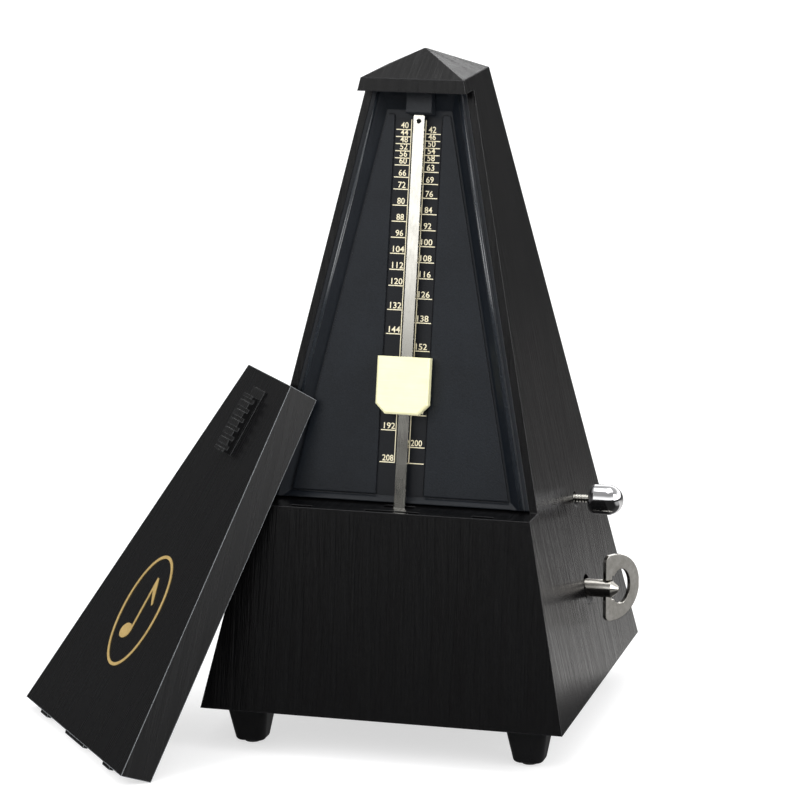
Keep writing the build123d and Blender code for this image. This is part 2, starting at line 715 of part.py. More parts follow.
crown_teeth, crown_radius, crown_tip_x = 15, 8.6, -3.2
with BuildPart() as escape_wheel:
    disc(escape_axis, -10.9, -8.6, 2.4)
    disc(escape_axis, -9.6, -8.6, crown_radius)
    disc(escape_axis, -8.6, crown_tip_x, crown_radius)
    disc(escape_axis, -8.6, crown_tip_x, crown_radius - 1.0, Mode.SUBTRACT)
    disc(escape_axis, -10.9, -8.6, 1.2, Mode.SUBTRACT)
    for i in range(crown_teeth):
        tooth_angle = 360 / crown_teeth * i
        tooth_origin = step_away(escape_axis, tooth_angle, 0)
        tooth_plane = Plane(
            origin=(crown_tip_x, tooth_origin[0], tooth_origin[1]),
            x_dir=(1, 0, 0),
            z_dir=(0, cos(radians(tooth_angle)), sin(radians(tooth_angle))),
        )
        with BuildSketch(tooth_plane):
            Polygon((0.1, -1.35), (0.1, 1.45), (-2.4, 1.35), align=None)
        extrude(amount=crown_radius + 1, mode=Mode.SUBTRACT)
escape_wheel.part.label = "escape_wheel"
export_step(escape_wheel.part, "parts/escape_wheel.step")

# ================= bell cams =================
with BuildPart() as cam_arbor:
    disc(cam_axis, -21.4, -19.6, 1.0)
    disc(cam_axis, -19.6, 19.6, 1.4)
    disc(cam_axis, 19.6, 21.4, 1.0)
cam_arbor.part.label = "cam_arbor"
export_step(cam_arbor.part, "parts/cam_arbor.step")

with BuildPart() as cam_wheel:
    with BuildSketch(side_plane(-14.65, cam_axis)):
        Polygon(*gear_points(cam_wheel_teeth, next_phase(cam_bearing, cam_wheel_teeth)), align=None)
        Circle(1.4, mode=Mode.SUBTRACT)
        with PolarLocations(6.2, 5):
            Circle(2.0, mode=Mode.SUBTRACT)
    extrude(amount=1.2)
cam_wheel.part.label = "cam_wheel"
export_step(cam_wheel.part, "parts/cam_wheel.step")

# four rings of lobes: the bell sounds on every second, third, fourth or sixth beat
hammer_x = 7.0
cam_rings = (
    (30, hammer_x - selector_pitch),
    (20, hammer_x),
    (15, hammer_x + selector_pitch),
    (10, hammer_x + 2 * selector_pitch),
)
with BuildPart() as cam_drum:
    disc(cam_axis, 3.2, 13.2, 5.4)
    for lobes, ring_x in cam_rings:
        with BuildSketch(side_plane(ring_x - 0.65, cam_axis)):
            Polygon(*ring_points(lobes, 5.9, 7.0, 0), align=None)
        extrude(amount=1.3)
    disc(cam_axis, 3.2, 13.2, 1.4, Mode.SUBTRACT)
cam_drum.part.label = "cam_drum"
export_step(cam_drum.part, "parts/cam_drum.step")

# ================= bell selector and hammer =================
hub_half = 3.5
with BuildPart() as selector_rod:
    disc(selector_axis, -29.5, knob_start + 4.0, stem_radius)
    for side in (-1, 1):
        collar = sorted((hammer_x + side * (hub_half + 0.1), hammer_x + side * (hub_half + 1.1)))
        disc(selector_axis, *collar, 2.4)
    for groove in range(6):
        groove_x = knob_start - 0.7 - groove * 1.0
        disc(selector_axis, groove_x - 0.4, groove_x, stem_radius + 1, Mode.SUBTRACT)
        disc(selector_axis, groove_x - 0.4, groove_x, stem_radius - 0.3)
selector_rod.part.label = "selector_rod"
export_step(selector_rod.part, "parts/selector_rod.step")

with BuildPart() as bell_knob:
    band_end = knob_start + knob_length - knob_radius
    with BuildSketch(Plane(origin=(0, *selector_axis), x_dir=(1, 0, 0), z_dir=(0, -1, 0))):
        with BuildLine():
            Polyline((knob_start, 0), (knob_start, 3.0))
            ThreePointArc((knob_start, 3.0), (knob_start + 0.7, 4.4), (knob_start + 2.4, knob_radius))
            Polyline((knob_start + 2.4, knob_radius), (band_end, knob_radius))
            ThreePointArc(
                (band_end, knob_radius),
                (band_end + knob_radius * sin(pi / 4), knob_radius * cos(pi / 4)),
                (band_end + knob_radius, 0),
            )
            Polyline((band_end + knob_radius, 0), (knob_start, 0))
        make_face()
    revolve(axis=Axis((0, *selector_axis), (1, 0, 0)))
    disc(selector_axis, knob_start - 1, knob_start + 4.0, stem_radius, Mode.SUBTRACT)
bell_knob.part.label = "bell_knob"
export_step(bell_knob.part, "parts/bell_knob.step")

with BuildPart() as hammer_arm:
    disc(selector_axis, hammer_x - hub_half, hammer_x + hub_half, 2.4)
    with BuildSketch(side_plane(hammer_x - 1.0, selector_axis)):
        Polygon(
            (-1.0, 1.2), (-10.4, 7.0), (-10.4, 18.6), (-9.2, 18.6), (-9.2, 7.8), (1.0, 1.8), align=None
        )
    extrude(amount=2.0)
    with BuildSketch(side_plane(hammer_x - 0.5, selector_axis)):
        Polygon((0, -0.9), (-20.0, 0.0), (-20.0, 1.25), (0, 1.6), align=None)
    extrude(amount=1.0)
    disc(selector_axis, hammer_x - hub_half, hammer_x + hub_half, stem_radius + running_gap, Mode.SUBTRACT)
hammer_arm.part.label = "hammer_arm"
export_step(hammer_arm.part, "parts/hammer_arm.step")

with BuildPart() as hammer_head:
    head_spot = (selector_axis[0] - 9.8, selector_axis[1] + 19.0)
    disc(head_spot, hammer_x - 3.0, hammer_x + 3.0, 2.1)
    chamfer(hammer_head.edges(), 0.4)
    block(
        (hammer_x - 1.0, hammer_x + 1.0),
        (selector_axis[0] - 10.4, selector_axis[0] - 9.2),
        (selector_axis[1] + 10, selector_axis[1] + 18.6),
        Mode.SUBTRACT,
    )
hammer_head.part.label = "hammer_head"
export_step(hammer_head.part, "parts/hammer_head.step")

# ================= pendulum =================
rod_low = -20.0
bob_top, bob_low = -14.5, -42.0
bob_back, bob_front = -5.0, 6.6
with BuildPart() as pendulum_rod:
    with BuildSketch(face.offset(rod_back)):
        with Locations((pivot_u, (rod_top + rod_low) / 2)):
            Rectangle(rod_width, rod_top - rod_low)
        with Locations((pivot_u, rod_top - 2.0)):
            Circle(0.75, mode=Mode.SUBTRACT)
        with Locations((pivot_u, staff_v)):
            Circle(staff_radius, mode=Mode.SUBTRACT)
    extrude(amount=rod_front - rod_back)
    fillet(pendulum_rod.edges().filter_by(Axis((0, 0, 0), face.z_dir)).group_by(Axis.Z)[-1], 0.6)
pendulum_rod.part.label = "pendulum_rod"
export_step(pendulum_rod.part, "parts/pendulum_rod.step")

with BuildPart() as pendulum_hub:
    for n_low, n_high in ((0.4, rod_back), (rod_front, 4.2)):
        with BuildSketch(staff_plane(n_low)):
            Circle(1.9)
            Circle(staff_radius, mode=Mode.SUBTRACT)
        extrude(amount=n_high - n_low)
pendulum_hub.part.label = "pendulum_hub"
export_step(pendulum_hub.part, "parts/pendulum_hub.step")

with BuildPart() as pendulum_staff:
    with BuildSketch(staff_plane(-30.6)):
        Circle(staff_radius)
    extrude(amount=30.6 + 4.2)
    for collar_n in (-3.6, -26.7):
        with BuildSketch(staff_plane(collar_n)):
            Circle(1.7)
        extrude(amount=0.8)
pendulum_staff.part.label = "pendulum_staff"
export_step(pendulum_staff.part, "parts/pendulum_staff.step")

crown_n = -(escape_axis[0] - on_face(0, staff_v, 0)[1]) / lean_cos
pallet_reach = 3.0
with BuildPart() as pallets:
    for side, tilt in ((1, 50), (-1, -50)):
        with BuildSketch(staff_plane(crown_n + side * (crown_radius - 0.5) - 0.7)):
            Circle(1.9)
            with Locations(Location((0, 0, 0), (0, 0, 180 - tilt))):
                with Locations((pallet_reach / 2, 0)):
                    Rectangle(pallet_reach, 0.8)
            Circle(staff_radius, mode=Mode.SUBTRACT)
        extrude(amount=1.4)
pallets.part.label = "pallets"
export_step(pallets.part, "parts/pallets.step")

with BuildPart() as pendulum_bob:
    with BuildSketch(face.offset(bob_back)):
        with Locations((pivot_u, (bob_top + bob_low) / 2)):
            RectangleRounded(24.0, bob_top - bob_low, 3.0)
    extrude(amount=bob_front - bob_back)
    with BuildSketch(face.offset(rod_back)):
        with Locations((pivot_u, (bob_top + rod_low) / 2)):
            Rectangle(rod_width, bob_top - rod_low)
    extrude(amount=rod_front - rod_back, mode=Mode.SUBTRACT)
pendulum_bob.part.label = "pendulum_bob"
export_step(pendulum_bob.part, "parts/pendulum_bob.step")

weight_low = weight_middle - weight_height / 2
weight_left, weight_right = weight_u - weight_width / 2, weight_u + weight_width / 2
weight_high = weight_middle + weight_height / 2
corner_cut = 3.2
with BuildPart() as sliding_weight:
    with BuildSketch(face.offset(weight_back)):
        Polygon(
            (weight_left, weight_high), (weight_left, weight_low + corner_cut),
            (weight_left + corner_cut, weight_low), (weight_right - corner_cut, weight_low),
            (weight_right, weight_low + corner_cut), (weight_right, weight_high), align=None,
        )
    extrude(amount=weight_front - weight_back)
    chamfer(sliding_weight.faces().sort_by(Axis((0, 0, 0), face.z_dir))[-1].edges(), 0.6)
    # the channel that the rod runs in, and a pocket for the friction spring
    with BuildSketch(face.offset(rod_back - 0.1)):
        with Locations((pivot_u, weight_middle)):
            Rectangle(rod_width + 0.12, weight_height + 2)
    extrude(amount=rod_front - rod_back + 0.16, mode=Mode.SUBTRACT)
    with BuildSketch(face.offset(rod_front)):
        with Locations((pivot_u, weight_middle)):
            Rectangle(3.0, 12.4)
    extrude(amount=0.8, mode=Mode.SUBTRACT)
sliding_weight.part.label = "sliding_weight"
export_step(sliding_weight.part, "parts/sliding_weight.step")

with BuildPart() as weight_spring:
    with BuildSketch(Plane(origin=on_face(pivot_u - 1.2, 0, 0), x_dir=face.y_dir, z_dir=(1, 0, 0))):
        Polygon(
            (weight_middle - 6.0, rod_front + 0.75), (weight_middle - 6.0, rod_front + 0.55),
            (weight_middle, rod_front + 0.1), (weight_middle + 6.0, rod_front + 0.55),
            (weight_middle + 6.0, rod_front + 0.75), (weight_middle, rod_front + 0.3), align=None,
        )
    extrude(amount=2.4)
weight_spring.part.label = "weight_spring"
export_step(weight_spring.part, "parts/weight_spring.step")

# ================= cover, standing beside the case =================
cover_turn_r, cover_tip_r = radians(cover_turn), radians(cover_tip)
cover_plane = Plane(
    origin=(cover_foot[0], cover_foot[1], 0.05 - foot_height),
    x_dir=(cos(cover_turn_r), sin(cover_turn_r), 0),
    z_dir=(
        sin(cover_turn_r) * sin(cover_tip_r),
        -cos(cover_turn_r) * sin(cover_tip_r),
        cos(cover_tip_r),
    ),
)
cover_half_low = half_width(cover_low)
cover_height = cover_high - cover_low
axis_depth = cover_half_low - cover_depth  # from the flanges' back edges to the case's own axis


def cover_side(x):
    """A plane across the cover's width: its x runs up the cover, its y towards the front."""
    return Plane(
        origin=cover_plane.from_local_coords((x, 0, 0)),
        x_dir=cover_plane.z_dir,
        z_dir=cover_plane.x_dir,
    )


# the cover's front wall, as a plane that leans like the case's front
cover_front = Plane(
    origin=cover_plane.from_local_coords((0, -cover_depth, 0)),
    x_dir=cover_plane.x_dir,
    z_dir=-lean_cos * cover_plane.y_dir + lean_sin * cover_plane.z_dir,
)
cover_slope = cover_height / lean_cos
top_front = cover_depth - lean * cover_height

with BuildPart() as cover_shell:
    with BuildSketch(cover_plane):
        with Locations((0, axis_depth)):
            Rectangle(2 * cover_half_low, 2 * cover_half_low)
    extrude(amount=cover_height, taper=lean_angle)
    with BuildSketch(cover_plane):
        with Locations((0, axis_depth)):
            Rectangle(2 * (cover_half_low - cover_thickness), 2 * (cover_half_low - cover_thickness))
    extrude(amount=cover_height, taper=lean_angle, mode=Mode.SUBTRACT)
    # only the front and the first stretch of the sides belong to the cover
    with BuildSketch(cover_side(-70)):
        Polygon(
            (-1, lean), (-1, -200), (cover_height + 1, -200),
            (cover_height + 1, -lean * (cover_height + 1)), align=None,
        )
        # the upper end is cut square to the front wall
        Polygon(
            (cover_height, top_front), (cover_height + 5, top_front),
            (cover_height + 5, top_front - 20), (cover_height - 20 * lean, top_front - 20), align=None,
        )
    extrude(amount=140, mode=Mode.SUBTRACT)
    # tongues on the lower edge, and the slot that the latch works in
    for middle, width in ((-30, 6.3), (0, 17.5), (30, 6.3)):
        with BuildSketch(cover_plane.offset(-1.6)):
            with Locations((middle, -cover_depth + 2.0)):
                Rectangle(width, 1.6)
        extrude(amount=3.0)
    with BuildSketch(cover_front.offset(-5)):
        with Locations((0, cover_slope - 17.0)):
            Rectangle(3.2, 15)
    extrude(amount=8, mode=Mode.SUBTRACT)
cover_shell.part.label = "cover_shell"
export_step(cover_shell.part, "parts/cover_shell.step")

latch_middle = cover_slope - 19.0
with BuildPart() as latch_guide:
    with BuildSketch(cover_front):
        with Locations((0, cover_slope - 17.4)):
            Rectangle(9.4, 23.6)
            Rectangle(3.4, 16.0, mode=Mode.SUBTRACT)
    extrude(amount=0.7)
latch_guide.part.label = "latch_guide"
export_step(latch_guide.part, "parts/latch_guide.step")

with BuildPart() as latch_slider:
    with BuildSketch(cover_front.offset(0.75)):
        with Locations((0, latch_middle)):
            Rectangle(7.4, 20.4)
    extrude(amount=2.5)
    for groove in range(6):
        with BuildSketch(cover_front.offset(2.05)):
            with Locations((0, latch_middle - 8.5 + groove * 3.4)):
                Rectangle(8, 1.3)
        extrude(amount=2, mode=Mode.SUBTRACT)
    with BuildSketch(cover_front.offset(-2.4)):
        with Locations((0, latch_middle + 1)):
            Rectangle(2.8, 6)
    extrude(amount=3.4)
latch_slider.part.label = "latch_slider"
export_step(latch_slider.part, "parts/latch_slider.step")

with BuildPart() as latch_bolt:
    with BuildSketch(cover_front.offset(-3.6)):
        with Locations((0, cover_slope - 14.6)):
            Rectangle(7.0, 20.8)
    extrude(amount=1.2)
latch_bolt.part.label = "latch_bolt"
export_step(latch_bolt.part, "parts/latch_bolt.step")

# an oval ring round a plain note
badge_v = cover_slope * 0.345
with BuildPart() as cover_badge:
    with BuildSketch(cover_front):
        with Locations((0, badge_v)):
            Ellipse(13.2, 20.0)
            Ellipse(12.1, 18.9, mode=Mode.SUBTRACT)
        with Locations(Location((-2.4, badge_v - 8.0, 0), (0, 0, 25))):
            Ellipse(3.6, 2.6)
        Polygon(
            (0.2, badge_v - 7.4), (1.2, badge_v - 7.4), (1.2, badge_v + 8.0), (5.6, badge_v + 3.4),
            (6.2, badge_v + 4.0), (1.2, badge_v + 12.2), (0.2, badge_v + 12.2), align=None,
        )
    extrude(amount=0.2)
cover_badge.part.label = "cover_badge"
export_step(cover_badge.part, "parts/cover_badge.step")
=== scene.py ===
import json
from math import atan, cos, pi, radians, sin

import bmesh
import bpy
from mathutils import Matrix, Vector


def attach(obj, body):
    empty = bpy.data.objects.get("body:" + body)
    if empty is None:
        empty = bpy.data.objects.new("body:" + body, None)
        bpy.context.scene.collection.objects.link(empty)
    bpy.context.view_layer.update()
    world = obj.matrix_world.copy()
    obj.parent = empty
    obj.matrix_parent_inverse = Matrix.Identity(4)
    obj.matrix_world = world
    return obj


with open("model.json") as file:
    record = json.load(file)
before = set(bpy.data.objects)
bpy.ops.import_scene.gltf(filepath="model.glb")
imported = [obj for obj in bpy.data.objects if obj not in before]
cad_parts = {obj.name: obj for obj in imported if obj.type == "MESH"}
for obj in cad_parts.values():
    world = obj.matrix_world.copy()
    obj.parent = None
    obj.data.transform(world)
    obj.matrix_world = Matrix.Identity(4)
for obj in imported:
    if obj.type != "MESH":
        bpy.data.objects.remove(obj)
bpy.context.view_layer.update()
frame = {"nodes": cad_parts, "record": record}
nodes = frame["nodes"]
slotOf = {part["node"]: part["material_slot"] for part in frame["record"]["subparts"]}
mm = 0.001
print("frame loaded,", len(nodes), "nodes")

# the case's own geometry in millimetres, as the solids have it
case = {
    "baseHalf": 60.0,
    "eaveHalf": 17.0,
    "eaveHeight": 201.0,
    "ledge": 65.5,
    "rebate": 11.0,
    "scaleSurface": -1.0,  # height of the scale strip over the face's rim
}
lean = (case["baseHalf"] - case["eaveHalf"]) / case["eaveHeight"]
leanAngle = atan(lean)
faceRight = Vector((1, 0, 0))
faceUp = Vector((0, sin(leanAngle), cos(leanAngle)))
faceOut = Vector((0, -cos(leanAngle), sin(leanAngle)))
faceOrigin = Vector((0, case["rebate"] - case["baseHalf"] + lean * case["ledge"], case["ledge"]))


def onFace(u, v, n):
    # millimetres across, up and out of the face, to metres in the object's frame
    return (faceOrigin + faceRight * u + faceUp * v + faceOut * n) * mm


faceMatrix = Matrix.Identity(4)
for row in range(3):
    faceMatrix[row][0] = faceRight[row]
    faceMatrix[row][1] = faceUp[row]
    faceMatrix[row][2] = faceOut[row]
    faceMatrix[row][3] = faceOrigin[row] * mm

coverLook = {"turn": -50.47, "tip": -19.97}  # how the loose cover stands, in degrees


# small helpers for shaders
def startMaterial(name):
    material = bpy.data.materials.new(name)
    material.use_nodes = True
    tree = material.node_tree
    tree.nodes.clear()
    output = tree.nodes.new("ShaderNodeOutputMaterial")
    shader = tree.nodes.new("ShaderNodeBsdfPrincipled")
    tree.links.new(shader.outputs["BSDF"], output.inputs["Surface"])
    return material, tree, shader


def addNode(tree, kind, inputs=None, **settings):
    node = tree.nodes.new(kind)
    for key, value in settings.items():
        setattr(node, key, value)
    for key, value in (inputs or {}).items():
        if isinstance(value, bpy.types.NodeSocket):
            tree.links.new(value, node.inputs[key])
        else:
            node.inputs[key].default_value = value
    return node


def mathNode(tree, operation, a, b=0.0):
    return addNode(tree, "ShaderNodeMath", {0: a, 1: b}, operation=operation).outputs[0]


def weightedSum(tree, a, shareA, b, shareB):
    first = mathNode(tree, "MULTIPLY", a, shareA)
    second = mathNode(tree, "MULTIPLY", b, shareB)
    return mathNode(tree, "ADD", first, second)


def ramp(tree, value, low, high, toLow=0.0, toHigh=1.0):
    spread = addNode(
        tree,
        "ShaderNodeMapRange",
        {"Value": value, "From Min": low, "From Max": high, "To Min": toLow, "To Max": toHigh},
    )
    return spread.outputs["Result"]


def blendColours(tree, factor, dark, light):
    mix = addNode(tree, "ShaderNodeMix", data_type="RGBA")
    tree.links.new(factor, mix.inputs[0])
    mix.inputs[6].default_value = (*dark, 1)
    mix.inputs[7].default_value = (*light, 1)
    return mix.outputs[2]


def noise(tree, vector, scale, detail=3.0, roughness=0.5):
    sockets = {"Vector": vector, "Scale": scale, "Detail": detail, "Roughness": roughness}
    return addNode(tree, "ShaderNodeTexNoise", sockets).outputs["Fac"]


def mapped(tree, vector, **sockets):
    node = addNode(tree, "ShaderNodeMapping", {"Vector": vector, **sockets}, vector_type="POINT")
    return node.outputs[0]


def placedCoordinates(tree, turn=(0, 0, 0), stretch=(1, 1, 1)):
    # object coordinates, turned to suit the piece and then stretched
    coordinates = addNode(tree, "ShaderNodeTexCoord").outputs["Object"]
    return mapped(tree, mapped(tree, coordinates, Rotation=turn), Scale=stretch)


def roundedNormal(tree, radius):
    return addNode(tree, "ShaderNodeBevel", {"Radius": radius * mm}, samples=5).outputs["Normal"]


def edgeMask(tree, rounded, low=0.93, high=0.992):
    # one where the rounded normal turns away from the flat wall, along the piece's edges; it places the
    # painted edge highlight
    flat = addNode(tree, "ShaderNodeNewGeometry").outputs["True Normal"]
    along = addNode(tree, "ShaderNodeVectorMath", {0: rounded, 1: flat}, operation="DOT_PRODUCT")
    return ramp(tree, along.outputs["Value"], low, high, 1.0, 0.0)


def addBump(tree, shader, height, depth, strength=1.0, normal=None):
    sockets = {"Height": height, "Distance": depth * mm, "Strength": strength}
    bump = addNode(tree, "ShaderNodeBump", sockets)
    if normal is not None:
        tree.links.new(normal, bump.inputs["Normal"])
    tree.links.new(bump.outputs["Normal"], shader.inputs["Normal"])


grain = {
    "wallShift": 0.4,  # sets each wall's pattern apart from the next
    "driftStretch": 0.3,
    "driftScale": 26.0,
    "sway": 0.0065,
    "figureStretch": 0.035,
    "furrowScale": 430.0,
    "poreScale": 1500.0,
    "patchStretch": 0.12,
    "patchScale": 60.0,
    "speckScale": 2600.0,
}


def grainedPlastic(name, look):
    # moulded plastic with an open vertical wood grain pressed into every wall, and a painted highlight in
    # a lighter colour along its edges
    material, tree, shader = startMaterial(name)
    base = placedCoordinates(tree, look["turn"])
    axes = addNode(tree, "ShaderNodeSeparateXYZ", {0: base})
    normal = addNode(tree, "ShaderNodeNewGeometry").outputs["True Normal"]
    toObject = addNode(
        tree,
        "ShaderNodeVectorTransform",
        {0: normal},
        vector_type="NORMAL",
        convert_from="WORLD",
        convert_to="OBJECT",
    ).outputs[0]
    facing = addNode(tree, "ShaderNodeSeparateXYZ", {0: mapped(tree, toObject, Rotation=look["turn"])})
    sideways = mathNode(
        tree,
        "GREATER_THAN",
        mathNode(tree, "ABSOLUTE", facing.outputs[0]),
        mathNode(tree, "ABSOLUTE", facing.outputs[1]),
    )
    choice = addNode(tree, "ShaderNodeMix", {0: sideways, 2: axes.outputs[0], 3: axes.outputs[1]})
    across = choice.outputs[0]
    wall = mathNode(tree, "MULTIPLY", facing.outputs[0], grain["wallShift"])
    height = axes.outputs[2]

    def grainSpace(start, shrink):
        upwards = mathNode(tree, "MULTIPLY", height, shrink)
        return addNode(tree, "ShaderNodeCombineXYZ", {0: start, 1: wall, 2: upwards}).outputs[0]

    drift = noise(tree, grainSpace(across, grain["driftStretch"]), grain["driftScale"], 2.0)
    swayed = mathNode(tree, "ADD", across, mathNode(tree, "MULTIPLY", drift, grain["sway"]))
    figure = grainSpace(swayed, grain["figureStretch"])
    furrows = ramp(tree, noise(tree, figure, grain["furrowScale"], 3.0, 0.62), 0.40, 0.60)
    pores = ramp(tree, noise(tree, figure, grain["poreScale"], 2.0, 0.6), 0.36, 0.62)
    patches = noise(tree, grainSpace(across, grain["patchStretch"]), grain["patchScale"], 3.0)
    depth = weightedSum(tree, furrows, 0.65, pores, 0.45)
    speck = noise(tree, base, grain["speckScale"], 2.0)
    relief = mathNode(tree, "ADD", depth, mathNode(tree, "MULTIPLY", speck, look["speckle"]))
    tone = weightedSum(tree, depth, 0.6, patches, 0.45)
    rounded = roundedNormal(tree, look["edge"])
    # every edge takes a lighter colour: a painted highlight
    colour = addNode(tree, "ShaderNodeMix", data_type="RGBA")
    tree.links.new(edgeMask(tree, rounded), colour.inputs[0])
    tree.links.new(blendColours(tree, tone, look["dark"], look["light"]), colour.inputs[6])
    colour.inputs[7].default_value = (*look["edgeHighlight"], 1)
    tree.links.new(colour.outputs[2], shader.inputs["Base Color"])
    gloss = ramp(tree, tone, 0.2, 1.0, look["roughHigh"], look["roughLow"])
    tree.links.new(gloss, shader.inputs["Roughness"])
    shader.inputs["Specular IOR Level"].default_value = look["specular"]
    addBump(tree, shader, relief, look["depth"], look["strength"], rounded)
    return material


caseLook = {
    "turn": (0, 0, 0),
    "dark": (0.0008, 0.0009, 0.0012),
    "light": (0.0046, 0.0044, 0.0046),
    # painted highlight: the lighter colour along the edges
    "edgeHighlight": (0.03, 0.03, 0.032),  # colour along the edges
    "roughLow": 0.15,
    "roughHigh": 0.26,
    "specular": 0.28,
    "depth": 0.17,
    "strength": 0.6,
    "speckle": 0.22,
    "edge": 0.3,
}
tipBack = Matrix.Rotation(radians(-coverLook["tip"]), 3, "X")
turnBack = Matrix.Rotation(radians(-coverLook["turn"]), 3, "Z")
coverFinish = dict(
    caseLook,
    turn=tuple((tipBack @ turnBack).to_euler()),
    dark=(0.0036, 0.0036, 0.004),
    light=(0.0058, 0.0058, 0.0062),
    # a strong painted highlight along the cover's edges
    edgeHighlight=(0.4, 0.42, 0.44),
    roughLow=0.22,
    roughHigh=0.3,
    depth=0.035,
    strength=0.3,
    speckle=0.9,
    edge=0.35,
)


unevenness = {
    "cloudScale": 45.0,
    "scuffScale": 420.0,
    "scuffStretch": 0.15,
    "scuffShare": 0.14,
    "stainScale": 160.0,
}


def mouldedPlastic(name, look):
    # fine spark-textured plastic with a slight unevenness of tone
    material, tree, shader = startMaterial(name)
    base = placedCoordinates(tree)
    grit = noise(tree, base, look["grit"], 3.0, 0.6)
    cloud = noise(tree, base, unevenness["cloudScale"], 4.0, 0.6)
    upright = placedCoordinates(tree, stretch=(1, 1, unevenness["scuffStretch"]))
    scuff = noise(tree, upright, unevenness["scuffScale"], 3.0, 0.7)
    tone = ramp(tree, weightedSum(tree, grit, 0.6, cloud, 0.4), 0.36, 0.64)
    tree.links.new(blendColours(tree, tone, look["dark"], look["light"]), shader.inputs["Base Color"])
    share = unevenness["scuffShare"]
    wear = mathNode(tree, "ADD", mathNode(tree, "MULTIPLY", scuff, share), look["rough"] - share / 2)
    tree.links.new(wear, shader.inputs["Roughness"])
    shader.inputs["Specular IOR Level"].default_value = look["specular"]
    addBump(tree, shader, grit, look["depth"], 0.6, roundedNormal(tree, look["edge"]))
    return material


def metalFinish(name, look):
    # metal with fine brushing along one direction, faint stains and rounded edges
    material, tree, shader = startMaterial(name)
    strokes = noise(tree, placedCoordinates(tree, stretch=look["brush"]), look["fine"], 4.0, 0.65)
    stains = noise(tree, placedCoordinates(tree), unevenness["stainScale"], 4.0, 0.6)
    tone = ramp(tree, weightedSum(tree, strokes, 0.5, stains, 0.5), 0.35, 0.65)
    tree.links.new(blendColours(tree, tone, look["dark"], look["light"]), shader.inputs["Base Color"])
    gloss = ramp(tree, tone, 0.0, 1.0, look["roughHigh"], look["roughLow"])
    tree.links.new(gloss, shader.inputs["Roughness"])
    shader.inputs["Metallic"].default_value = look.get("metallic", 1.0)
    addBump(tree, shader, strokes, look["depth"], 0.5, roundedNormal(tree, look["edge"]))
    return material


